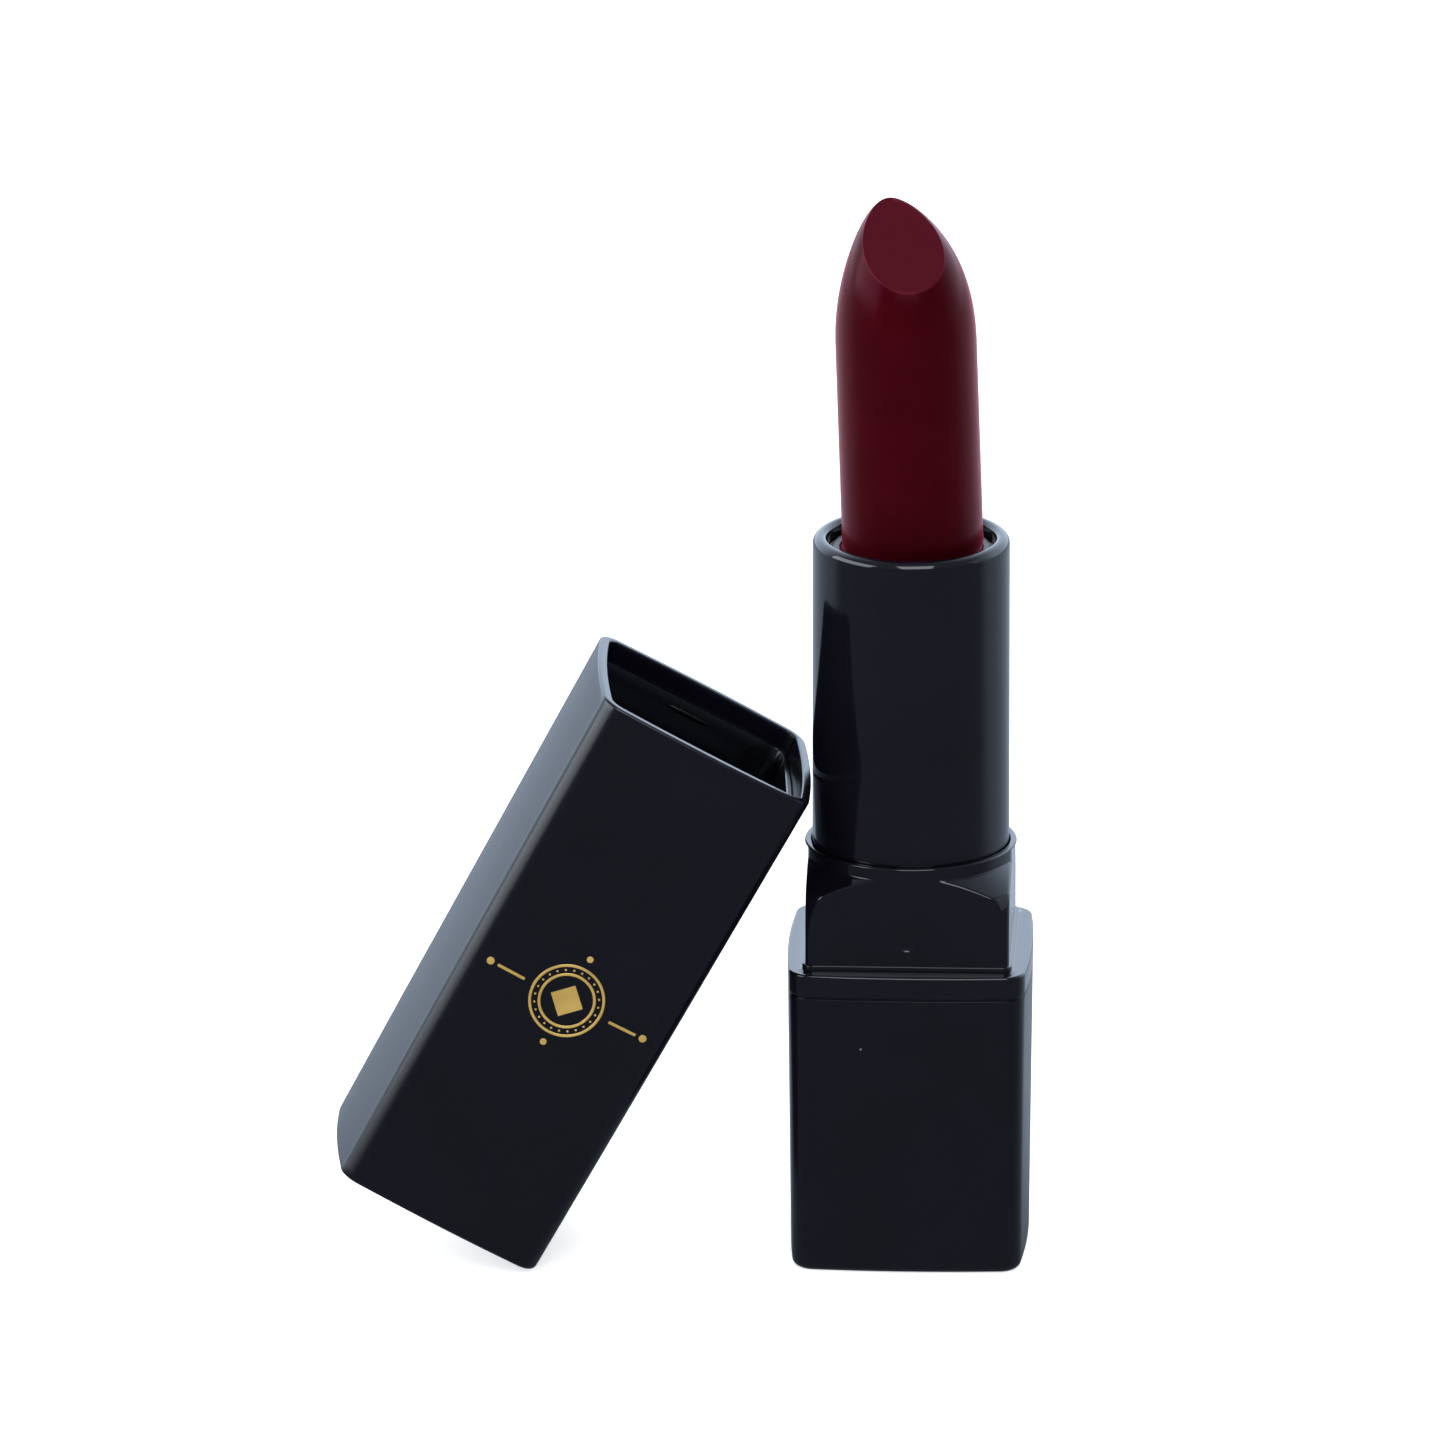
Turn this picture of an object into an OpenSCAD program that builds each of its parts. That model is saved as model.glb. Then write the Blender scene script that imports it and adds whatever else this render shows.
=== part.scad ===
// Square lipstick case, open: it stands with the lipstick wound out, and its cap leans against the sleeve.
// Origin: middle of the case's bottom face, on the surface it stands on. +Z up, +X right, -Y to the front.
// The spiral turns with the sleeve, the fork stays in the base, and the cup's lugs run in both.

/* [Base] */
// Width of the base at its top, across the middle of two faces
base_w = 20.95; // [20.5:0.05:21.5]
// Width of the base at its foot
foot_w = 20.35; // [19.5:0.05:20.9]
// Height of the base shell
base_h = 24.8; // [23:0.1:27]
// How far the middle of each face bows out
face_bow = 0.4; // [0.1:0.05:0.6]
// Radius of the upright corners
corner_r = 1.6; // [1:0.1:2.5]
// Thinnest wall of the base shell
base_wall = 0.95; // [0.8:0.05:1.1]

/* [Collar] */
// Width of the flange between base and cap
flange_w = 21; // [20.9:0.05:21.5]
// Thickness of the flange
flange_h = 2; // [1:0.1:3]
// Width of the square plug that the cap snaps on
plug_w = 17.5; // [17.45:0.05:17.6]
// Height of the plug above the flange, with its round rim
plug_h = 9.3; // [8.5:0.1:10]
// Radius of the round rim
rim_r = 9.1; // [8.95:0.05:9.2]
// Height of the round rim
rim_h = 1.1; // [0.6:0.1:1.5]
// Diameter of the dimples that the cap's beads find
dimple_d = 2.3; // [1.6:0.1:3]
// Height of the dimples above the flange
dimple_h = 2.85; // [2.4:0.05:4]

/* [Sleeve] */
// Outer radius of the turning sleeve
sleeve_r = 8.45; // [8.3:0.01:8.46]
// Top of the sleeve above the table
sleeve_top = 63.3; // [62:0.1:64]
// Radius of the sleeve's mouth
mouth_r = 7.2; // [7.05:0.05:7.4]
// Wall of the sleeve
sleeve_wall = 0.45; // [0.4:0.01:0.5]

/* [Mechanism] */
// How far the lipstick travels
travel = 31; // [26:0.5:31]
// Rise of the spiral's tracks in one turn
lead = 18; // [15:0.5:20]
// Diameter of the cup's lugs
lug_d = 1.5; // [1.2:0.1:1.6]

/* [Lipstick] */
// Diameter of the lipstick
bullet_d = 12.1; // [11.5:0.1:12.1]
// Height of its uncut point above the table
apex_z = 95.2; // [85:0.1:96]
// Height at which its sides begin to round over
shoulder_z = 80.4; // [78:0.1:83]
// Height at which the slanted cut meets the axis
cut_z = 90.95; // [86:0.05:92]
// Slope of the cut from the horizontal
cut_slope = 41.5; // [30:0.1:55]
// Turn of the cut about the vertical, to the right
cut_turn = 17.3; // [0:0.1:30]
// Lean of the lipstick in its cup, to the left
lean = 2.4; // [0:0.1:2.5]

/* [Cap] */
// Length of the cap
cap_len = 48.4; // [46:0.1:50]
// Width of the cap at its mouth
cap_mouth_w = 20.8; // [20.6:0.05:21]
// Width of the cap at its closed end
cap_end_w = 19.8; // [19.7:0.05:20.5]
// Wall of the cap at its mouth
cap_wall = 0.9; // [0.8:0.01:0.9]
// How far the liner is set back from the mouth
liner_step = 1.8; // [1.2:0.1:2.2]
// Lean of the cap from upright
cap_tilt = 28.7; // [20:0.1:29]
// Turn of the leaning cap about the vertical
cap_heading = 3.5; // [0:0.1:4]

/* [Hidden] */
$fn = 96;

black = [0.09, 0.095, 0.12];
gloss_black = [0.05, 0.055, 0.07];
grey = [0.35, 0.36, 0.38];
white = [0.9, 0.9, 0.88];
steel = [0.7, 0.71, 0.73];
wine = [0.35, 0.02, 0.08];
gold = [0.8, 0.63, 0.3];

// Gaps: a running fit, parts that slide past each other, and parts that are set in place
run_gap = 0.07;
slip_gap = 0.15;
set_gap = 0.02;
over = 1;

// Heights in the base
floor_t = 1.4;
weight_h = 6.5;
core_z = floor_t + weight_h + 0.2;
core_floor = 4;
spigot_h = 3;
core_top = base_h - spigot_h - 0.1;
cavity_w = foot_w - 2 * base_wall;
label_r = 7.5;
label_t = 0.3;
edge_r = 0.8;

// Collar
flange_z = base_h;
flange_top = flange_z + flange_h;
plug_top = flange_top + plug_h;
plug_corner_r = 0.7;
dimple_deep = 0.3;
shoulder_slope = 0.68;
foot_step = 0.25;
foot_step_h = 0.5;

// Sleeve, which starts just inside the collar's rim, and the spiral it is pressed on
sleeve_z = plug_top - 2.7;
spiral_r = sleeve_r - sleeve_wall;
spiral_in_r = 7.5;
bead_r = spiral_r + 0.25;
bead_h = 0.7;
foot_z = core_z + core_floor;
foot_t = 1.5;
spiral_z = foot_z + foot_t + slip_gap;
lip_h = 1.4;
tube_top = sleeve_top - lip_h - 0.2;
fork_r = 7.4;
fork_in_r = 6.95;
neck_r = 6.9;
neck_top = spiral_z + 3.4;

// Cup and lugs, at full height
cup_h = 12;
cup_top = sleeve_top - 1;
cup_z = cup_top - cup_h;
cup_r = 6.8;
cup_gap = 0.06;
lean_shift = 0.14;
lug_z = cup_z + 1.2;
lug_gap = 0.2;
slot_w = lug_d + 2 * lug_gap;
track_z = lug_z - travel - lug_d / 2 - lug_gap;
track_top = lug_z + lug_d / 2 + lug_gap;
track_rise = 2.1;

// Place of the leaning cap's closed end
cap_edge = 0.5;
cap_foot = [
    -40.77, -3,
    (cap_end_w / 2 - cap_edge) * sin(cap_tilt) + cap_edge * (1 - cos(cap_tilt))
];
cap_in_mouth_w = cap_mouth_w - 2 * cap_wall;
cap_in_end_w = cap_end_w - 2 * cap_wall + 0.1;
cap_end_t = 1.3;
liner_end = 5.2;
liner_end_t = 0.8;
liner_plug_w = plug_w + 0.2;
liner_deep_w = 17.35;
liner_shelf = cap_len - plug_h - 0.4;
bead_out = 0.18;
bead_ball_r = 3;

// Square outline with bowed faces and round corners
module outline(w, r = corner_r, bow = face_bow) {
    arc_r = (pow(w / 2 - r, 2) + bow * bow) / (2 * bow);
    offset(r = r, $fn = 32) offset(delta = -r)
        intersection_for(a = [0, 90, 180, 270])
            rotate(a) translate([w / 2 - arc_r, 0]) circle(arc_r, $fn = 360);
}

// Thin slice of that outline at height z, for a tapered hull
module slice(w, z, r = corner_r, bow = face_bow) {
    translate([0, 0, z]) linear_extrude(0.01) outline(w, r, bow);
}

module prism(w, z, h, r = corner_r, bow = face_bow) {
    translate([0, 0, z]) linear_extrude(h) outline(w, r, bow);
}

module rod(r, z, h) {
    translate([0, 0, z]) cylinder(r = r, h = h);
}

module tube(r, in_r, z, h) {
    difference() {
        rod(r, z, h);
        rod(in_r, z - over, h + 2 * over);
    }
}

// ---- Base ----

module base_shell() {
    color(black) difference() {
        hull() {
            slice(foot_w - 2 * edge_r, 0, corner_r - edge_r / 2);
            slice(foot_w - 0.6 * edge_r, 0.3 * edge_r);
            slice(foot_w, edge_r);
            slice(base_w, base_h - 0.01);
        }
        prism(cavity_w, floor_t, base_h, corner_r - 0.6);
        rod(label_r + set_gap, -over, label_t + over);
    }
}

module shade_label() {
    color(white) rod(label_r, 0, label_t);
}

module base_weight() {
    chamfer = 0.5;
    weight_r = cavity_w / 2 - 0.15;
    stud_hole_r = 2;
    color(steel) translate([0, 0, floor_t]) rotate_extrude() polygon([
        [stud_hole_r, 0], [weight_r - chamfer, 0], [weight_r, chamfer],
        [weight_r, weight_h - chamfer], [weight_r - chamfer, weight_h], [stud_hole_r, weight_h]
    ]);
}

module base_core() {
    color(grey) difference() {
        union() {
            prism(cavity_w - 2 * set_gap, core_z, core_top - core_z, corner_r - 0.6);
            rod(1.9, core_z - 2, 2 + over);
        }
        rod(bead_r + 0.1, foot_z, base_h);
        rod(3, core_z + 1, base_h);
    }
}

// ---- Collar: spigot, flange, foot step, square plug with a round rim, and two dimples ----

// Round shape that the square plug is cut to: rim, sloping shoulder, and rounded corners below
module plug_round() {
    rim_foot = plug_top - rim_h;
    slope_r = 11.2;
    slope_foot = rim_foot - shoulder_slope * (slope_r - rim_r);
    rotate_extrude() polygon([
        [0, flange_top], [12.6, flange_top], [12.6, slope_foot - 4.4], [12.1, slope_foot - 1.9],
        [11.8, slope_foot - 0.9], [slope_r, slope_foot], [rim_r, rim_foot],
        [rim_r, plug_top - 0.15], [rim_r - 0.15, plug_top], [0, plug_top]
    ]);
}

module collar() {
    ball_r = (pow(dimple_d / 2, 2) + pow(dimple_deep, 2)) / (2 * dimple_deep);
    color(gloss_black) difference() {
        union() {
            prism(cavity_w - 2 * set_gap, flange_z - spigot_h, spigot_h + 0.5, corner_r - 0.6);
            prism(flange_w, flange_z, flange_h - 0.2);
            prism(flange_w - 0.4, flange_z, flange_h);
            prism(plug_w + 2 * foot_step, flange_top - 0.5, foot_step_h + 0.5, plug_corner_r, 0.05);
            intersection() {
                prism(plug_w, flange_top, plug_h, plug_corner_r, 0.05);
                plug_round();
            }
        }
        rod(spiral_r + run_gap, flange_z - spigot_h - over, base_h);
        rod(sleeve_r + run_gap, sleeve_z - slip_gap, base_h);
        for (s = [-1, 1])
            translate([0, s * (plug_w / 2 + ball_r - dimple_deep), flange_top + dimple_h]) sphere(ball_r);
    }
}

// ---- Mechanism in the base ----

module fork() {
    color(white) difference() {
        union() {
            rod(spiral_r, foot_z, foot_t);
            rod(neck_r, foot_z, neck_top - foot_z);
            rod(fork_r, neck_top, tube_top - neck_top);
            rod(3, core_z + 1, foot_z - core_z);
        }
        rod(neck_r - 0.9, foot_z + foot_t, tube_top);
        rod(fork_in_r, neck_top + 0.6, tube_top);
        translate([-fork_r - over, -slot_w / 2, track_z])
            cube([2 * (fork_r + over), slot_w, track_top - track_z]);
    }
}

module friction_rings() {
    section_r = (spiral_in_r - neck_r) / 2 - set_gap;
    color(gloss_black) for (k = [0, 1])
        translate([0, 0, spiral_z + 1 + 1.2 * k]) rotate_extrude()
            translate([(spiral_in_r + neck_r) / 2, 0]) circle(section_r, $fn = 24);
}

// ---- Turning parts ----

// Quarter round from angle a0 to a1 about [x, y]
function arc(x, y, r, a0, a1, n = 5) =
    [for (i = [0:n]) let (a = a0 + (a1 - a0) * i / n) [x + r * cos(a), y + r * sin(a)]];

module sleeve() {
    out_r = 0.75;
    in_r = 0.5;
    color(gloss_black) rotate_extrude() polygon(concat(
        [[spiral_r, sleeve_z], [sleeve_r, sleeve_z]],
        arc(sleeve_r - out_r, sleeve_top - out_r, out_r, 0, 90),
        arc(mouth_r + in_r, sleeve_top - in_r, in_r, 90, 180),
        [[mouth_r, sleeve_top - lip_h + 0.2], [mouth_r + 0.2, sleeve_top - lip_h],
         [spiral_r, sleeve_top - lip_h]]
    ));
}

module spiral() {
    track_h = track_top - track_z;
    track_angle = 360 * track_rise / lead;
    color(grey) difference() {
        union() {
            tube(spiral_r, spiral_in_r, spiral_z, tube_top - spiral_z);
            tube(bead_r, spiral_r - 0.1, core_top - bead_h - 0.1, bead_h);
        }
        // each track is centred on its lug at full height, and climbs with the right-hand turn
        translate([0, 0, track_z]) rotate(-360 * (lug_z - track_z) / lead)
            linear_extrude(track_h, twist = -360 * track_h / lead, slices = 60, segments = 4)
                for (a = [0, 180]) rotate(a) polygon([
                    [6.5, -6.5 * tan(track_angle / 2)], [9, -9 * tan(track_angle / 2)],
                    [9, 9 * tan(track_angle / 2)], [6.5, 6.5 * tan(track_angle / 2)]
                ]);
    }
}

// ---- Carrier ----

module cup() {
    floor_h = 0.8;
    lug_out = spiral_r - 0.1;
    color(grey) difference() {
        union() {
            rod(cup_r, cup_z, cup_h);
            for (a = [0, 180])
                rotate(a) translate([cup_r - 0.3, 0, lug_z]) rotate([0, 90, 0])
                    cylinder(d = lug_d, h = lug_out - cup_r + 0.3);
        }
        rod(bullet_d / 2 + cup_gap, cup_z + floor_h, cup_h);
    }
}

// Radius of the rounded point, as a fraction, at the fraction t of its height
function taper(t) = pow(1 - pow(t, 1.96), 0.87);

module bullet() {
    steps = 20;
    point_h = apex_z - shoulder_z;
    color(wine) difference() {
        union() {
            rod(bullet_d / 2 + cup_gap - set_gap, cup_z + 0.9, cup_h - 1.1);
            translate([lean_shift, 0, cup_top]) rotate([0, -lean, 0]) translate([0, 0, -cup_top])
            difference() {
                rotate_extrude() polygon(concat(
                    [[0, cup_top - 0.5], [bullet_d / 2 - 0.25, cup_top - 0.5], [bullet_d / 2, cup_top + 0.3]],
                    [for (i = [0:steps]) let (t = 1 - pow(1 - i / steps, 2))
                        [bullet_d / 2 * taper(t), shoulder_z + point_h * t]]
                ));
                translate([0, 0, cut_z]) rotate(cut_turn) rotate([cut_slope, 0, 0])
                    translate([-15, -15, 0]) cube([30, 30, 15]);
            }
        }
    }
}

// ---- Cap: modelled mouth up on its closed end, then leaned into place ----

module leaned() {
    translate(cap_foot) rotate([0, 0, cap_heading]) rotate([0, cap_tilt, 0]) children();
}

module cap_outside(grow = 0) {
    hull() {
        slice(cap_end_w - 2 * cap_edge + 2 * grow, -grow, corner_r - cap_edge / 2);
        slice(cap_end_w - 0.6 * cap_edge + 2 * grow, 0.3 * cap_edge);
        slice(cap_end_w + 2 * grow, cap_edge);
        slice(cap_mouth_w + 2 * grow, cap_len - 0.2);
        slice(cap_mouth_w - 0.2 + 2 * grow, cap_len - 0.01);
    }
}

// Width of the cap's inside at height z
function inside_w(z) = cap_in_end_w + (cap_in_mouth_w - cap_in_end_w) * z / cap_len;

module cap_shell() {
    color(black) leaned() difference() {
        cap_outside();
        hull() {
            slice(inside_w(cap_end_t), cap_end_t, corner_r - 0.6);
            slice(inside_w(cap_len + over), cap_len + over, corner_r - 0.6);
        }
    }
}

module cap_liner() {
    liner_top = cap_len - liner_step;
    bead_z = cap_len - dimple_h;
    color(gloss_black) leaned() union() {
        difference() {
            hull() {
                slice(inside_w(liner_end) - 2 * set_gap, liner_end, corner_r - 0.6);
                slice(inside_w(liner_top) - 2 * set_gap, liner_top - 0.01, corner_r - 0.6);
            }
            prism(liner_deep_w, liner_end + liner_end_t, cap_len, 2, 0.05);
            prism(liner_plug_w, liner_shelf, cap_len, 0.9, 0.05);
        }
        for (s = [-1, 1]) intersection() {
            translate([0, s * (liner_plug_w / 2 + bead_ball_r - bead_out), bead_z]) sphere(bead_ball_r);
            translate([-2, s * (liner_plug_w / 2) - 0.3, bead_z - 2]) cube([4, 0.6, 4]);
        }
    }
}

// Plain gold ornament: a lozenge in a double ring, between two rules that end in dots
module ornament() {
    line = 0.25;
    lozenge = 2.2;
    rings = [2.5, 3.3];
    rule_in = 4.1;
    rule_out = 6.7;
    rotate(45) square(lozenge, center = true);
    for (r = rings) difference() {
        circle(r);
        circle(r - line);
    }
    for (s = [-1, 1]) {
        translate([s * (rule_in + rule_out) / 2, 0]) square([rule_out - rule_in, line], center = true);
        translate([s * (rule_out + 0.7), 0]) circle(0.35);
        translate([0, s * (rings[1] + 0.9)]) circle(0.3);
    }
}

module cap_emblem() {
    emblem_z = 23.3;
    proud = 0.06;
    color(gold) leaned() difference() {
        intersection() {
            cap_outside(proud);
            translate([0, -cap_end_w / 2 + 3, emblem_z]) rotate([90, 0, 0])
                linear_extrude(6) ornament($fn = 40);
        }
        cap_outside();
    }
}

base_shell();
shade_label();
base_weight();
base_core();
collar();
fork();
friction_rings();
sleeve();
spiral();
cup();
bullet();
cap_shell();
cap_liner();
cap_emblem();
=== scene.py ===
"""Square lipstick case, standing open with the lipstick wound out and its cap leaning on the sleeve.

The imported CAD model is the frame: every piece stands in the place of its CAD node. Each sub-assembly below
is a class that builds finished skins round its nodes and dresses them. Sizes are in millimetres until a
piece is finished, which turns it into metres, and angles are in degrees.
"""
import logging
import math
from collections.abc import Callable, Iterable
from dataclasses import dataclass, replace
from enum import Enum

import bmesh
import bpy
from mathutils import Matrix, Vector


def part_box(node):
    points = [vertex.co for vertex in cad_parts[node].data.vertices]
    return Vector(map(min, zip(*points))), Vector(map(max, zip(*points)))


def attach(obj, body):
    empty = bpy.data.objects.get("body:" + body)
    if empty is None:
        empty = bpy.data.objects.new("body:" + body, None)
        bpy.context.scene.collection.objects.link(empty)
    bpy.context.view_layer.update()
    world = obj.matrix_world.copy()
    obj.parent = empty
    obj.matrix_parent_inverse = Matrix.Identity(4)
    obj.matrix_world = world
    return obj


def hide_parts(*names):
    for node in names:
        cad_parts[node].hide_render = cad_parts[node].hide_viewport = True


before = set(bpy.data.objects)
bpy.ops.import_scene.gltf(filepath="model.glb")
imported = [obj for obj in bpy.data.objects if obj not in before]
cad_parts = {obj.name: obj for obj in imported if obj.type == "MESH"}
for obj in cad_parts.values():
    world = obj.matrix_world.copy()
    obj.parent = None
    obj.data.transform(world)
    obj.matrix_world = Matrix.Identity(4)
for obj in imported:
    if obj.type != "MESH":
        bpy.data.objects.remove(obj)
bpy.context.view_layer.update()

log = logging.getLogger("lipstick_case")

MM = 0.001
MERGE = 0.0005

Point = tuple[float, float]
Colour = tuple[float, float, float]
Inputs = dict[str | int, object]


class Body(Enum):
    """The moving bodies of the frame."""

    CASE = "case"
    SLEEVE = "turning_sleeve"
    CARRIER = "carrier"
    CAP = "cap"


class Slot(Enum):
    """The record's material slots."""

    SATIN_BLACK = "satin_black"
    GLOSS_BLACK = "gloss_black"
    STEEL = "steel"
    GREY_PLASTIC = "grey_plastic"
    WHITE_PLASTIC = "white_plastic"
    RUBBER = "ring_rubber"
    LIPSTICK = "lipstick"
    GOLD = "gold_foil"
    LABEL = "label"


# ---- Shader nodes ----


class Tree:
    """A short way to place and wire the nodes of one node tree."""

    def __init__(self, tree: bpy.types.NodeTree) -> None:
        """Clears the tree.

        Args:
            tree: The node tree to fill.
        """
        self.tree = tree
        tree.nodes.clear()

    def add(self, kind: str, inputs: Inputs | None = None, **settings: object) -> bpy.types.Node:
        """Places a node.

        Args:
            kind: The node's type name.
            inputs: Input sockets by name or number, each with a value or with the socket that feeds it.
            **settings: Properties of the node.

        Returns:
            The node.
        """
        node = self.tree.nodes.new(kind)
        for name, value in settings.items():
            setattr(node, name, value)
        self.wire(node, inputs or {})
        return node

    def wire(self, node: bpy.types.Node, inputs: Inputs) -> None:
        """Sets or feeds inputs of a node.

        Args:
            node: The node.
            inputs: Input sockets by name or number, each with a value or with the socket that feeds it.
        """
        for key, value in inputs.items():
            if isinstance(value, bpy.types.NodeSocket):
                self.tree.links.new(value, node.inputs[key])
            else:
                node.inputs[key].default_value = value

    def use(self, shared: bpy.types.NodeTree, inputs: Inputs) -> bpy.types.Node:
        """Places a shared group.

        Args:
            shared: The group.
            inputs: Its inputs, as for any node.

        Returns:
            The group's node.
        """
        return self.add("ShaderNodeGroup", inputs, node_tree=shared)

    def math(self, operation: str, *values: object, clamp: bool = False) -> bpy.types.NodeSocket:
        """Places a Math node and returns its result.

        Args:
            operation: The sum it does.
            *values: Its inputs, as numbers or sockets.
            clamp: Whether the result is kept between 0 and 1.

        Returns:
            The result's socket.
        """
        node = self.add("ShaderNodeMath", dict(enumerate(values)), operation=operation, use_clamp=clamp)
        return node.outputs[0]

    def spread(self, value: object, low: object, high: object, to_low: object, to_high: object,
               smooth: bool = False) -> bpy.types.NodeSocket:
        """Maps a value from one range to another.

        Args:
            value: The value's socket.
            low: Start of its range.
            high: End of its range.
            to_low: Result at the start.
            to_high: Result at the end.
            smooth: Whether the steps at both ends are eased.

        Returns:
            The result's socket.
        """
        kind = "SMOOTHSTEP" if smooth else "LINEAR"
        ends = {"Value": value, "From Min": low, "From Max": high, "To Min": to_low, "To Max": to_high}
        return self.add("ShaderNodeMapRange", ends, interpolation_type=kind).outputs["Result"]

    def noise(self, vector: object, scale: object, detail: float, rough: float = 0.5) -> bpy.types.NodeSocket:
        """Places a Noise Texture and returns its value.

        Args:
            vector: The coordinates it reads.
            scale: Features in a metre.
            detail: Number of finer layers.
            rough: How strong the finer layers are.

        Returns:
            The value's socket.
        """
        settings = {"Vector": vector, "Scale": scale, "Detail": detail, "Roughness": rough}
        return self.add("ShaderNodeTexNoise", settings).outputs["Fac"]

    def mix(self, factor: object, first: object, second: object) -> bpy.types.NodeSocket:
        """Mixes two colours.

        Args:
            factor: Share of the second.
            first: The first colour.
            second: The second colour.

        Returns:
            The mixed colour's socket.
        """
        ends = [end if isinstance(end, bpy.types.NodeSocket) else (*end, 1.0) for end in (first, second)]
        node = self.add("ShaderNodeMix", data_type="RGBA")
        self.wire(node, {0: factor, 6: ends[0], 7: ends[1]})
        return node.outputs[2]


def group(name: str, inputs: dict[str, float | None], outputs: tuple[str, ...],
          fill: Callable[[Tree, bpy.types.Node, bpy.types.Node], None]) -> bpy.types.NodeTree:
    """Builds a shader node group once.

    Args:
        name: The group's name.
        inputs: Its inputs with their starting values; None is a vector.
        outputs: Its outputs, all plain values.
        fill: Places and wires the nodes between the group's input and output nodes.

    Returns:
        The group, the same one each time for one name.
    """
    if name in bpy.data.node_groups:
        return bpy.data.node_groups[name]
    tree = bpy.data.node_groups.new(name, "ShaderNodeTree")
    for label, value in inputs.items():
        kind = "NodeSocketVector" if value is None else "NodeSocketFloat"
        socket = tree.interface.new_socket(label, in_out="INPUT", socket_type=kind)
        if value is not None:
            socket.default_value = value
    for label in outputs:
        tree.interface.new_socket(label, in_out="OUTPUT", socket_type="NodeSocketFloat")
    t = Tree(tree)
    fill(t, t.add("NodeGroupInput"), t.add("NodeGroupOutput"))
    return tree


def moulded_surface() -> bpy.types.NodeTree:
    """The faint unevenness of a moulded or lacquered skin: cloudy roughness and a fine pebbled height."""

    def fill(t: Tree, given: bpy.types.Node, out: bpy.types.Node) -> None:
        """Wires the group."""
        place = given.outputs["Vector"]
        cloud = t.noise(place, given.outputs["Cloud Scale"], 3.0, 0.55)
        spread = t.math("MULTIPLY", t.math("SUBTRACT", cloud, 0.5), given.outputs["Variation"])
        pebble = t.noise(place, given.outputs["Grain Scale"], 1.0)
        rough = t.math("ADD", given.outputs["Roughness"], spread, clamp=True)
        t.wire(out, {"Roughness": rough, "Height": pebble})

    inputs = {"Vector": None, "Roughness": 0.3, "Variation": 0.1, "Cloud Scale": 180.0, "Grain Scale": 9000.0}
    return group("moulded_surface", inputs, ("Roughness", "Height"), fill)


def dust_specks() -> bpy.types.NodeTree:
    """A few tiny specks of dust, each in its own cell, only where a slower noise lets them be."""

    def fill(t: Tree, given: bpy.types.Node, out: bpy.types.Node) -> None:
        """Wires the group."""
        place = given.outputs["Vector"]
        settings = {"Vector": place, "Scale": given.outputs["Cells"], "Randomness": 1.0}
        cells = t.add("ShaderNodeTexVoronoi", settings)
        speck = t.spread(cells.outputs["Distance"], given.outputs["Size"], 0.0, 0.0, 1.0)
        chosen = t.add("ShaderNodeSeparateColor", {"Color": cells.outputs["Color"]}).outputs[0]
        kept = t.math("LESS_THAN", chosen, given.outputs["Share"])
        t.wire(out, {"Mask": t.math("MULTIPLY", speck, kept, clamp=True)})

    return group("dust_specks", {"Vector": None, "Cells": 260.0, "Size": 0.03, "Share": 0.3}, ("Mask",), fill)


def hairlines() -> bpy.types.NodeTree:
    """Fine handling scratches: long thin streaks that cross, broken up by a slower noise."""

    def fill(t: Tree, given: bpy.types.Node, out: bpy.types.Node) -> None:
        """Wires the group."""
        lines = None
        for angle, stretch in ((0.5, 40.0), (-0.9, 55.0)):
            turn = {"Rotation": (0.2, angle, 0.1), "Scale": (stretch, stretch, 1.0)}
            drawn = t.add("ShaderNodeMapping", {"Vector": given.outputs["Vector"], **turn})
            streak = t.noise(drawn.outputs[0], given.outputs["Scale"], 2.0)
            line = t.spread(streak, 0.72, 0.78, 0.0, 1.0)
            lines = line if lines is None else t.math("MAXIMUM", lines, line)
        patch = t.spread(t.noise(given.outputs["Vector"], 220.0, 1.0), 0.45, 0.7, 0.0, 1.0)
        t.wire(out, {"Mask": t.math("MULTIPLY", lines, patch)})

    return group("hairlines", {"Vector": None, "Scale": 60.0}, ("Mask",), fill)


# ---- Finishes ----


@dataclass(frozen=True)
class Finish:
    """A finish: what every material here shares."""

    name: str
    colour: Colour
    roughness: float

    def material(self) -> bpy.types.Material:
        """Builds the material once.

        Returns:
            The material, the same one each time for one name.
        """
        if self.name in bpy.data.materials:
            return bpy.data.materials[self.name]
        material = bpy.data.materials.new(self.name)
        material.use_nodes = True
        material.diffuse_color = (*self.colour, 1.0)
        tree = Tree(material.node_tree)
        shader = tree.add("ShaderNodeBsdfPrincipled")
        tree.add("ShaderNodeOutputMaterial", {"Surface": shader.outputs[0]})
        place = tree.add("ShaderNodeTexCoord").outputs["Object"]
        self.dress(tree, shader, place)
        return material

    def dress(self, tree: Tree, shader: bpy.types.Node, place: bpy.types.NodeSocket) -> None:
        """Wires the shader. Each kind of finish has its own."""
        raise NotImplementedError

    def surface(self, tree: Tree, place: bpy.types.NodeSocket, variation: float, cloud: float,
                grain: float) -> bpy.types.Node:
        """Places the moulded surface group with this finish's roughness.

        Args:
            tree: The material's tree.
            place: Object coordinates.
            variation: How far the roughness wanders.
            cloud: Scale of that wandering.
            grain: Scale of the fine height.

        Returns:
            The group's node.
        """
        inputs = {"Vector": place, "Roughness": self.roughness, "Variation": variation,
                  "Cloud Scale": cloud, "Grain Scale": grain}
        return tree.use(moulded_surface(), inputs)


def shaded(colour: Colour, share: float) -> Colour:
    """The same colour, darker by a share."""
    return tuple(part * share for part in colour)


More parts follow.
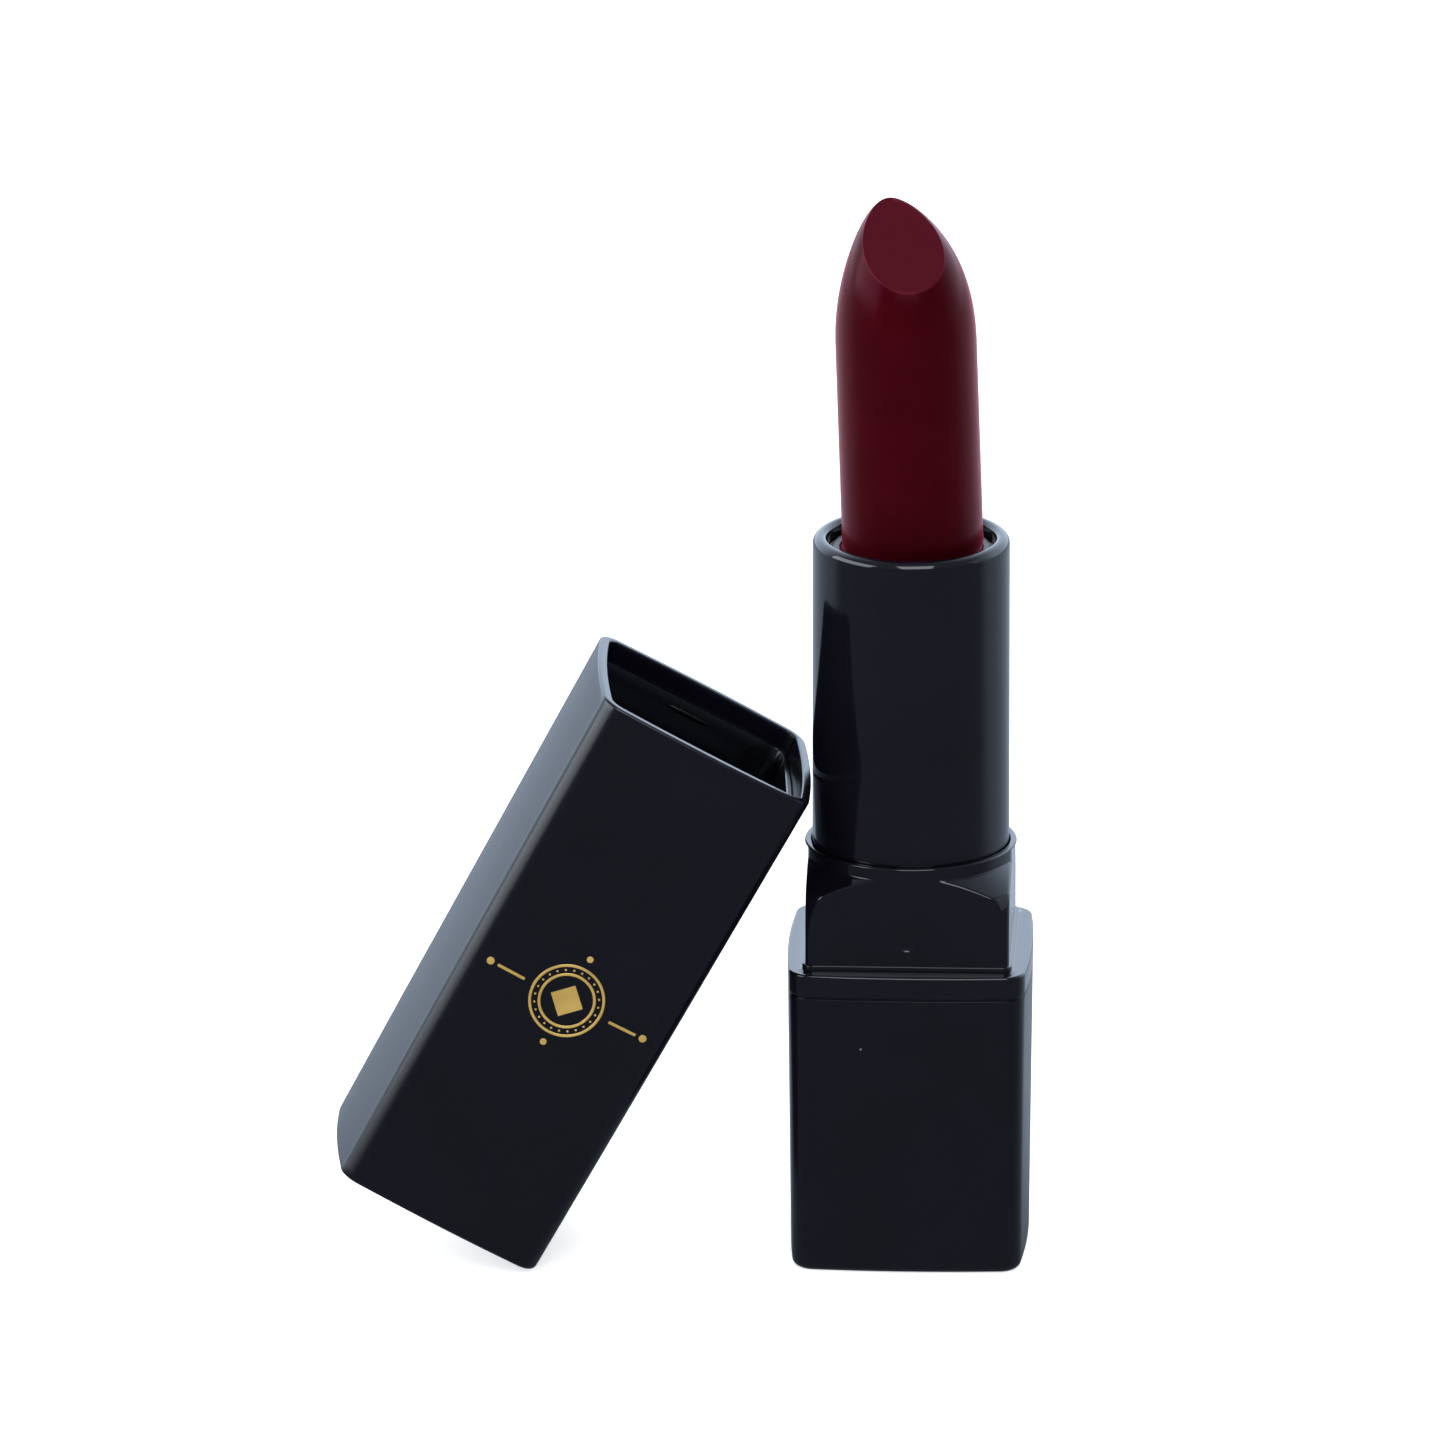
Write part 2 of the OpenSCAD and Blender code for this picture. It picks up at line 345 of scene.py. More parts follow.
def bump(tree: Tree, shader: bpy.types.Node, height: bpy.types.NodeSocket, strength: float,
         depth: float) -> None:
    """Wires a height into the shader's normal.

    Args:
        tree: The material's tree.
        shader: The shader.
        height: The height's socket.
        strength: How much of the bump is used.
        depth: Its depth in metres.
    """
    node = tree.add("ShaderNodeBump", {"Strength": strength, "Distance": depth, "Height": height})
    tree.wire(shader, {"Normal": node.outputs["Normal"]})


@dataclass(frozen=True)
class Lacquer(Finish):
    """Black lacquer on moulded plastic, satin or gloss, with a little dust and a few hairlines."""

    variation: float = 0.08
    grain_depth: float = 0.000002
    speck_share: float = 0.25
    dust: Colour = (0.16, 0.17, 0.19)
    wear: float = 0.06
    ior: float = 1.5

    def dress(self, tree: Tree, shader: bpy.types.Node, place: bpy.types.NodeSocket) -> None:
        """Wires the lacquer."""
        skin = self.surface(tree, place, self.variation, 240.0, 11000.0)
        sparse = {"Cells": 210.0, "Size": 0.028, "Share": self.speck_share}
        specks = tree.use(dust_specks(), {"Vector": place, **sparse})
        scratches = tree.use(hairlines(), {"Vector": place, "Scale": 45.0})
        tone = tree.spread(tree.noise(place, 90.0, 2.0), 0.35, 0.65, 0.0, 1.0)
        lacquer = tree.mix(tone, shaded(self.colour, 0.75), self.colour)
        colour = tree.mix(specks.outputs["Mask"], lacquer, self.dust)
        worn = tree.math("MULTIPLY", scratches.outputs["Mask"], self.wear)
        rough = tree.math("ADD", skin.outputs["Roughness"], worn, clamp=True)
        tree.wire(shader, {"Base Color": colour, "Roughness": rough, "IOR": self.ior})
        bump(tree, shader, skin.outputs["Height"], 0.2, self.grain_depth)


@dataclass(frozen=True)
class Wax(Finish):
    """Lipstick wax: semi-gloss, a little cloudy, faintly drawn along its length, with painted light that
    makes the cut paler.
    """

    deep: Colour = (0.026, 0.0004, 0.0018)
    sheen: Colour = (1.0, 0.2, 0.34)
    edge: Colour = (0.8, 0.1, 0.18)
    cut_painted_light: Colour = (0.068, 0.0052, 0.0112)
    cut_painted_light_reach: tuple[float, float] = (0.00004, 0.00012)
    cut_normal: tuple[float, float, float] = (0.0, 0.0, 1.0)
    cut_place: float = 1.0
    ior: float = 1.45
    gloss: float = 0.16
    fuzz: float = 0.5
    fuzz_roughness: float = 0.35

    def dress(self, tree: Tree, shader: bpy.types.Node, place: bpy.types.NodeSocket) -> None:
        """Wires the wax."""
        skin = self.surface(tree, place, 0.12, 160.0, 2600.0)
        cloud = tree.noise(place, 130.0, 3.0, 0.6)
        colour = tree.mix(tree.spread(cloud, 0.3, 0.7, 0.0, 1.0), self.deep, self.colour)
        # Painted light: a paler colour near the slanted cut stands in for the light from above that falls on
        # the cut.
        level = tree.add("ShaderNodeVectorMath", {0: place, 1: self.cut_normal}, operation="DOT_PRODUCT")
        under = tree.math("SUBTRACT", self.cut_place, level.outputs["Value"])
        colour = tree.mix(tree.spread(under, *self.cut_painted_light_reach, 1.0, 0.0), colour, self.cut_painted_light)
        long = tree.add("ShaderNodeMapping", {"Vector": place, "Scale": (1.0, 1.0, 0.06)}).outputs[0]
        drawn = tree.noise(long, 1500.0, 2.0)
        height = tree.math("ADD", tree.math("MULTIPLY", skin.outputs["Height"], 0.5), drawn)
        tree.wire(shader, {"Base Color": colour, "Roughness": skin.outputs["Roughness"], "IOR": self.ior,
                           "Specular IOR Level": self.gloss, "Specular Tint": (*self.sheen, 1.0),
                           "Sheen Weight": self.fuzz, "Sheen Roughness": self.fuzz_roughness,
                           "Sheen Tint": (*self.edge, 1.0)})
        bump(tree, shader, height, 0.25, 0.00001)


@dataclass(frozen=True)
class Foil(Finish):
    """Hot-stamped gold foil: metal with a soft grain and a tone that drifts across the ornament."""

    deep: Colour = (0.52, 0.33, 0.08)
    metallic: float = 0.4

    def dress(self, tree: Tree, shader: bpy.types.Node, place: bpy.types.NodeSocket) -> None:
        """Wires the foil."""
        skin = self.surface(tree, place, 0.15, 900.0, 16000.0)
        drift = tree.spread(tree.noise(place, 260.0, 2.0), 0.35, 0.65, 0.0, 1.0)
        colour = tree.mix(drift, self.deep, self.colour)
        tree.wire(shader, {"Base Color": colour, "Roughness": skin.outputs["Roughness"],
                           "Metallic": self.metallic})
        bump(tree, shader, skin.outputs["Height"], 0.4, 0.000004)


@dataclass(frozen=True)
class Moulding(Finish):
    """Plain moulded plastic or rubber, as it leaves the mould."""

    grain_depth: float = 0.00001

    def dress(self, tree: Tree, shader: bpy.types.Node, place: bpy.types.NodeSocket) -> None:
        """Wires the plastic."""
        skin = self.surface(tree, place, 0.14, 300.0, 7000.0)
        tone = tree.spread(tree.noise(place, 160.0, 3.0), 0.3, 0.7, 0.0, 1.0)
        colour = tree.mix(tone, shaded(self.colour, 0.78), self.colour)
        tree.wire(shader, {"Base Color": colour, "Roughness": skin.outputs["Roughness"]})
        bump(tree, shader, skin.outputs["Height"], 0.4, self.grain_depth)


@dataclass(frozen=True)
class TurnedSteel(Finish):
    """Steel with the fine rings that a lathe leaves round its axis."""

    rings: float = 5200.0

    def dress(self, tree: Tree, shader: bpy.types.Node, place: bpy.types.NodeSocket) -> None:
        """Wires the steel."""
        skin = self.surface(tree, place, 0.1, 400.0, 9000.0)
        settings = {"Vector": place, "Scale": self.rings, "Distortion": 1.5, "Detail": 2.0}
        wave = tree.add("ShaderNodeTexWave", settings, wave_type="RINGS", rings_direction="Z")
        tone = tree.spread(wave.outputs["Fac"], 0.0, 1.0, 0.3, 1.0)
        colour = tree.mix(tone, shaded(self.colour, 0.7), self.colour)
        tree.wire(shader, {"Base Color": colour, "Roughness": skin.outputs["Roughness"], "Metallic": 1.0})
        bump(tree, shader, wave.outputs["Fac"], 0.3, 0.000008)


@dataclass(frozen=True)
class Finishes:
    """Every finish of the case."""

    satin_black: Finish = Lacquer("satin_black_lacquer", (0.0020, 0.0017, 0.0048), 0.25)
    gloss_black: Finish = Lacquer("gloss_black_lacquer", (0.0038, 0.0035, 0.0060), 0.07, variation=0.05,
                                  grain_depth=0.0000008, speck_share=0.12)
    # The liner's black is its own plastic, made darker still as painted shade for the deep inside of the cap.
    liner_black_and_painted_shade: Finish = Lacquer("liner_plastic_with_painted_shade", (0.0022, 0.0022, 0.0034), 0.12, variation=0.05,
                                  grain_depth=0.0000008, speck_share=0.12)
    wax: Finish = Wax("wine_red_wax", (0.037, 0.0006, 0.0026), 0.24)
    gold: Finish = Foil("stamped_gold", (0.62, 0.41, 0.115), 0.32)
    grey: Finish = Moulding("moulded_grey", (0.11, 0.11, 0.12), 0.42)
    white: Finish = Moulding("moulded_white", (0.72, 0.72, 0.69), 0.4)
    rubber: Finish = Moulding("soft_rubber", (0.025, 0.025, 0.027), 0.62, grain_depth=0.00002)
    steel: Finish = TurnedSteel("turned_steel", (0.52, 0.53, 0.55), 0.3)
    label: Finish = Moulding("label_paper", (0.02, 0.02, 0.024), 0.5, grain_depth=0.000015)


# ---- Mesh helpers ----


def arc(x: float, z: float, radius: float, start: float, end: float, steps: int = 6) -> list[Point]:
    """Points along a round, in a profile.

    Args:
        x: Its centre's distance outwards.
        z: Its centre's height.
        radius: Its radius.
        start: Angle of the first point, from outwards towards up.
        end: Angle of the last point.
        steps: Number of steps.

    Returns:
        The points, as (outwards, height).
    """
    angles = [math.radians(start + (end - start) * i / steps) for i in range(steps + 1)]
    return [(x + radius * math.cos(a), z + radius * math.sin(a)) for a in angles]


def box_mm(node: str) -> tuple[Vector, Vector]:
    """Lowest and highest corner of a CAD node, in millimetres."""
    low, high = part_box(node)
    return Vector(low) / MM, Vector(high) / MM


def reach(direction: Vector, half: float, corner: float) -> float:
    """Distance from the middle of a square with round corners to its edge.

    Args:
        direction: The way to go, of length 1 in X and Y.
        half: Half of the square's width.
        corner: Radius of its corners.

    Returns:
        The distance.
    """
    wide, narrow = sorted((abs(direction.x), abs(direction.y)), reverse=True)
    flat = half / wide
    if flat * narrow <= half - corner:
        return flat
    centre = half - corner
    along = centre * (wide + narrow)
    return along + math.sqrt(max(along * along - 2 * centre * centre + corner * corner, 0.0))


@dataclass(frozen=True)
class Level:
    """A level of a skin: its outline, drawn in and scaled."""

    z: float
    inset: float = 0.0
    scale: float = 1.0

    def place(self, spot: Vector, out: Vector) -> Vector:
        """Where the outline's point at spot, facing out, lies on this level."""
        x, y = (spot[axis] * self.scale - out[axis] * self.inset for axis in (0, 1))
        return Vector((x, y, self.z))


@dataclass(frozen=True)
class RoundLevel:
    """A level of a skin that is a circle."""

    z: float
    radius: float

    def place(self, spot: Vector, out: Vector) -> Vector:
        """Where the outline's point at spot lies on this level."""
        way = Vector((spot.x, spot.y, 0.0)).normalized()
        return way * self.radius + Vector((0.0, 0.0, self.z))


@dataclass(frozen=True)
class SquareLevel:
    """A level of a skin that is a square with round corners, cut back to a circle where that is smaller."""

    z: float
    half: float
    corner: float
    round_to: float | None = None
    blend: float = 0.16

    def place(self, spot: Vector, out: Vector) -> Vector:
        """Where the outline's point at spot lies on this level."""
        way = Vector((spot.x, spot.y, 0.0)).normalized()
        far = reach(way, self.half, self.corner)
        if self.round_to is not None:
            near = max(self.blend - abs(far - self.round_to), 0.0) / self.blend
            far = min(far, self.round_to) - near * near * self.blend / 4
        return way * far + Vector((0.0, 0.0, self.z))


AnyLevel = Level | RoundLevel | SquareLevel


@dataclass(frozen=True)
class Outline:
    """A square with round corners and bowed sides."""

    width: float
    corner: float
    bow: float
    side_cuts: int = 17
    corner_steps: int = 10

    @property
    def half(self) -> float:
        """Half of the square's width before its sides are bowed."""
        return self.width / 2 - self.bow

    def draw(self, bm: bmesh.types.BMesh) -> None:
        """Draws the outline as the only face of a bmesh."""
        bmesh.ops.create_grid(bm, x_segments=1, y_segments=1, size=self.half)
        bmesh.ops.bevel(bm, geom=bm.verts[:], offset=self.corner, offset_type="OFFSET", affect="VERTICES",
                        segments=self.corner_steps, profile=0.5, material=-1)
        sides = [edge for edge in bm.edges if edge.calc_length() > self.corner]
        bmesh.ops.subdivide_edges(bm, edges=sides, cuts=self.side_cuts)
        for vert in bm.verts:
            x, y = vert.co.x / self.half, vert.co.y / self.half
            vert.co.x += x * self.bow * (1 - y * y)
            vert.co.y += y * self.bow * (1 - x * x)

    def face_at(self, across: float, scale: float) -> float:
        """Distance from the middle to a side, at a place across it, on a level with that scale."""
        return scale * (self.half + self.bow * (1 - (across / (self.half * scale)) ** 2))


class Skin:
    """A skin that grows from an outline, one level at a time."""

    def __init__(self, outline: Outline, first: AnyLevel, open_start: bool = False) -> None:
        """Draws the outline and puts it on its first level.

        Args:
            outline: The outline that every level is made from.
            first: The first level.
            open_start: Whether the first level is left open.
        """
        self.bm = bmesh.new()
        self.spot = self.bm.verts.layers.float_vector.new("spot")
        self.out = self.bm.verts.layers.float_vector.new("out")
        outline.draw(self.bm)
        for vert in self.bm.verts:
            one, two = (edge.other_vert(vert).co for edge in vert.link_edges)
            along = (one - two).normalized()
            way = Vector((along.y, -along.x, 0.0))
            vert[self.spot] = vert.co
            vert[self.out] = way if way.dot(vert.co) > 0 else -way
        self.edges = self.bm.edges[:]
        if open_start:
            bmesh.ops.delete(self.bm, geom=self.bm.faces[:], context="FACES_ONLY")
        self._place(first)

    def _place(self, level: AnyLevel) -> None:
        """Moves the newest ring to a level."""
        for vert in {vert for edge in self.edges for vert in edge.verts}:
            vert.co = level.place(Vector(vert[self.spot]), Vector(vert[self.out]))

    def grow(self, levels: Iterable[AnyLevel]) -> None:
        """Extrudes the newest ring to each level in turn."""
        for level in levels:
            grown = bmesh.ops.extrude_edge_only(self.bm, edges=self.edges)["geom"]
            self.edges = [part for part in grown if isinstance(part, bmesh.types.BMEdge) and part.is_boundary]
            self._place(level)

    def close(self) -> bmesh.types.BMesh:
        """Fills the newest ring and turns every face outwards.

        Returns:
            The closed skin.
        """
        bmesh.ops.contextual_create(self.bm, geom=self.edges)
        return outwards(self.bm)

    def join_ends(self) -> bmesh.types.BMesh:
        """Merges the last ring with the first, which lies in the same place.

        Returns:
            The closed skin.
        """
        bmesh.ops.remove_doubles(self.bm, verts=self.bm.verts, dist=MERGE)
        return outwards(self.bm)


def outwards(bm: bmesh.types.BMesh) -> bmesh.types.BMesh:
    """Turns every face of a closed mesh outwards and returns the mesh."""
    bmesh.ops.recalc_face_normals(bm, faces=bm.faces)
    return bm


def turned(profile: list[Point], steps: int, closed: bool) -> bmesh.types.BMesh:
    """Turns a profile round the upright axis.

    Args:
        profile: Its points, as (radius, height).
        steps: Number of steps in the turn.
        closed: Whether the profile is a loop; otherwise both its ends are on the axis.

    Returns:
        The closed solid.
    """
    bm = bmesh.new()
    verts = [bm.verts.new((x, 0.0, z)) for x, z in profile]
    pairs = list(zip(verts, verts[1:] + verts[:1] if closed else verts[1:]))
    edges = [bm.edges.new(pair) for pair in pairs]
    bmesh.ops.spin(bm, geom=verts + edges, cent=(0, 0, 0), axis=(0, 0, 1), angle=math.tau, steps=steps,
                   use_merge=True, use_duplicate=False)
    bmesh.ops.remove_doubles(bm, verts=bm.verts, dist=MERGE)
    return outwards(bm)


def absorb(bm: bmesh.types.BMesh, other: bmesh.types.BMesh) -> None:
    """Adds a closed mesh to another and frees it."""
    mesh = bpy.data.meshes.new("part")
    other.to_mesh(mesh)
    other.free()
    bm.from_mesh(mesh)
    bpy.data.meshes.remove(mesh)


def finished(bm: bmesh.types.BMesh, name: str, body: Body, slot: Slot, finish: Finish, *nodes: str,
             crease: float = 38.0) -> bpy.types.Object:
    """Turns a bmesh in millimetres into a piece of the model.

    Args:
        bm: The closed mesh.
        name: The piece's name.
        body: The body that it moves with.
        slot: Not used.
        finish: Its finish.
        *nodes: The CAD nodes that it stands for.
        crease: Angle between faces, in degrees, past which their edge is sharp.

    Returns:
        The piece.
    """
    bmesh.ops.scale(bm, vec=(MM, MM, MM), verts=bm.verts)
    mesh = bpy.data.meshes.new(name)
    bm.to_mesh(mesh)
    bm.free()
    mesh.shade_smooth()
    mesh.set_sharp_from_angle(angle=math.radians(crease))
    mesh.materials.append(finish.material())
    piece = bpy.data.objects.new(name, mesh)
    bpy.context.scene.collection.objects.link(piece)
    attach(piece, body.value)
    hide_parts(*nodes)
    log.info("%s: %d faces, %s", name, len(mesh.polygons), finish.name)
    return piece


# ---- Sub-assemblies ----


@dataclass
class Base:
    """The square base: its drafted shell with bowed sides, let in below for a round label."""

    finishes: Finishes
    width: float = 20.95
    foot_width: float = 20.35
    corner: float = 1.6
    bow: float = 0.51
    foot_edge: float = 0.8
    top_edge: float = 0.02
    groove: float = 0.15
    cavity_width: float = 18.45
    floor: float = 1.4
    label_radius: float = 7.52
    label_depth: float = 0.3
    label_edge: float = 0.08

    def build(self) -> bpy.types.Object:
        """Builds the shell from the label's recess out, up and in again.

        Returns:
            The shell.
        """
        top = box_mm("base_shell")[1].z
        outline = Outline(self.width, self.corner, self.bow)

        def level(x: float, z: float) -> Level:
            """A point of the shell's profile on the drafted outline."""
            width = self.foot_width + (self.width - self.foot_width) * z / top
            return Level(z, -x, width / self.width)

        skin = Skin(outline, RoundLevel(self.label_depth, self.label_radius))
        skin.grow([RoundLevel(self.label_edge, self.label_radius),
                   RoundLevel(0.0, self.label_radius + self.label_edge)])
        side = [(-self.foot_edge - 0.5, 0.0)]
        side += arc(-self.foot_edge, self.foot_edge, self.foot_edge, -90, 0, 9)
        ledge = top - self.groove
        side += [(0.0, self.foot_edge + 0.4), (0.0, top / 3), (0.0, top * 2 / 3), (0.0, top - 0.5)]
        side += arc(-self.top_edge, ledge - self.top_edge, self.top_edge, 0, 90, 3)
        side += [(-self.groove, ledge), (-self.groove, top)]
        inner_top = (self.cavity_width - self.width) / 2
        inner_foot = (self.cavity_width - self.foot_width) / 2
        side += [(-0.4, top), (inner_top + 0.1, top), (inner_top, top - 0.1), (inner_foot, self.floor + 0.3),
                 (inner_foot - 0.3, self.floor)]
        skin.grow([level(x, z) for x, z in side])
        return finished(skin.close(), "base_shell_skin", Body.CASE, Slot.SATIN_BLACK,
                        self.finishes.satin_black, "base_shell")


@dataclass
class Collar:
    """The collar: a spigot, a flange, a foot step, and a square plug that is cut round towards its rim."""

    finishes: Finishes
    width: float = 21.0
    corner: float = 1.6
    bow: float = 0.51
    spigot_width: float = 18.41
    flange_height: float = 2.0
    flange_edge: float = 0.22
    step_out: float = 0.25
    step_height: float = 0.5
    plug_half: float = 8.75
    plug_corner: float = 0.7
    rim_radius: float = 9.1
    rim_height: float = 1.1
    slope: float = 0.68
    slope_radius: float = 11.2
    slope_fade: float = 0.75
    bore: float = 8.07
    sleeve_bore: float = 8.52
    sleeve_seat: float = 33.25
    dimple_radius: float = 1.15
    dimple_depth: float = 0.26
    dimple_rise: float = 2.85
    rows: int = 74

    def round_at(self, z: float, top: float) -> float:
        """Radius of the round form that the plug is cut to, at a height below its top."""
        below = top - self.rim_height - z
        if below <= 0:
            return self.rim_radius
        cone = self.rim_radius + below / self.slope
        knee = (self.slope_radius - self.rim_radius) * self.slope
        if below <= knee:
            return cone
        return self.slope_radius + self.slope_fade * math.sqrt(below - knee) * self.slope

    def sides(self, foot: float, top: float) -> list[SquareLevel]:
        """Levels of the plug's sides, from its foot to the start of its rim."""
        heights = [foot + (top - 0.2 - foot) * i / self.rows for i in range(self.rows + 1)]
        return [SquareLevel(z, self.plug_half, self.plug_corner, self.round_at(z, top)) for z in heights]

    def press_dimples(self, bm: bmesh.types.BMesh, height: float) -> None:
        """Presses a round dimple into the middle of the front and the back face."""
        for vert in bm.verts:
            away = math.hypot(vert.co.x, vert.co.z - height)
            if abs(abs(vert.co.y) - self.plug_half) < 0.05 and away < self.dimple_radius:
                share = 1 - (away / self.dimple_radius) ** 2
                vert.co.y -= math.copysign(self.dimple_depth * share ** 0.8, vert.co.y)

    def flange(self, foot: float, seam: float, top: float) -> list[Level]:
        """Levels of the spigot in the base and of the flange above it.

        Args:
            foot: Height of the spigot's foot.
            seam: Height of the flange's underside.
            top: Height of its top.

        Returns:
            The levels, from the foot up.
        """
        edge = self.flange_edge
        spigot = (self.spigot_width - self.width) / 2
        rise = [(spigot - 0.2, foot), (spigot, foot + 0.2), (spigot, seam), (-edge - 0.3, seam)]
        rise += arc(-edge, seam + edge, edge, -90, 0, 5)
        rise += [(0.0, seam + edge + 0.15), (0.0, top - edge - 0.15)]
        rise += arc(-edge, top - edge, edge, 0, 90, 6)
        rise += [(-edge - 0.2, top)]
        return [Level(z, -x) for x, z in rise]

    def step(self, foot: float, top: float) -> list[SquareLevel]:
        """Levels of the low step at the plug's foot, which ends where the plug's sides start."""
        half = self.plug_half + self.step_out
        corner = self.plug_corner + self.step_out
        return [
            SquareLevel(foot, half + 0.08, corner),
            SquareLevel(foot + 0.05, half, corner),
            SquareLevel(top - 0.08, half, corner),
            SquareLevel(top - 0.02, half - 0.03, corner),
            SquareLevel(top, half - 0.09, corner - 0.09),
            SquareLevel(top, self.plug_half + 0.03, self.plug_corner),
        ]

    def rim(self, foot: float, top: float) -> list[RoundLevel]:
        """Levels of the rim, the sleeve's seat and the bore, from the top down to the foot."""
        inside = arc(self.rim_radius - 0.15, top - 0.15, 0.15, 0, 90, 4)
        inside += arc(self.sleeve_bore + 0.12, top - 0.12, 0.12, 90, 180, 3)
        inside += [(self.sleeve_bore, self.sleeve_seat + 0.4), (self.sleeve_bore, self.sleeve_seat)]
        inside += [(self.bore, self.sleeve_seat), (self.bore, foot + 1.0), (self.bore, foot)]
        return [RoundLevel(z, x) for x, z in inside]

    def build(self) -> bpy.types.Object:
        """Builds the collar as one closed skin, from its bore's foot round to the bore again.

        Returns:
            The collar.
        """
        foot, top = (corner.z for corner in box_mm("collar"))
        seam = box_mm("base_shell")[1].z
        flange_top = seam + self.flange_height
        step_top = flange_top + self.step_height
        outline = Outline(self.width, self.corner, self.bow, side_cuts=88, corner_steps=18)
        skin = Skin(outline, RoundLevel(foot, self.bore), open_start=True)
        skin.grow(self.flange(foot, seam, flange_top))
        skin.grow(self.step(flange_top, step_top))
        skin.grow(self.sides(step_top + 0.03, top))
        skin.grow(self.rim(foot, top))
        bm = skin.join_ends()
        self.press_dimples(bm, flange_top + self.dimple_rise)
        return finished(bm, "collar_skin", Body.CASE, Slot.GLOSS_BLACK, self.finishes.gloss_black, "collar")


@dataclass
class Sleeve:
    """The turning sleeve: a thin tube whose mouth is rolled in."""

    finishes: Finishes
    wall: float = 0.45
    outer_round: float = 0.75
    inner_round: float = 0.5
    mouth: float = 7.2
    lip_height: float = 1.4
    turn_steps: int = 160

    def build(self) -> bpy.types.Object:
        """Builds the sleeve.

        Returns:
            The sleeve.
        """
        low, high = box_mm("sleeve")
        radius, foot, top = high.x, low.z, high.z
        bore = radius - self.wall
        profile = [(bore, foot), (radius - 0.08, foot), (radius, foot + 0.08), (radius, foot + 0.6),
                   (radius, (foot + top) / 2), (radius, top - self.outer_round - 0.4)]
        profile += arc(radius - self.outer_round, top - self.outer_round, self.outer_round, 0, 90, 10)
        profile += arc(self.mouth + self.inner_round, top - self.inner_round, self.inner_round, 90, 180, 8)
        under = top - self.lip_height
        profile += [(self.mouth, under + 0.2), (self.mouth + 0.2, under), (bore, under)]
        bm = turned(profile, self.turn_steps, closed=True)
        return finished(bm, "sleeve_skin", Body.SLEEVE, Slot.GLOSS_BLACK, self.finishes.gloss_black, "sleeve")


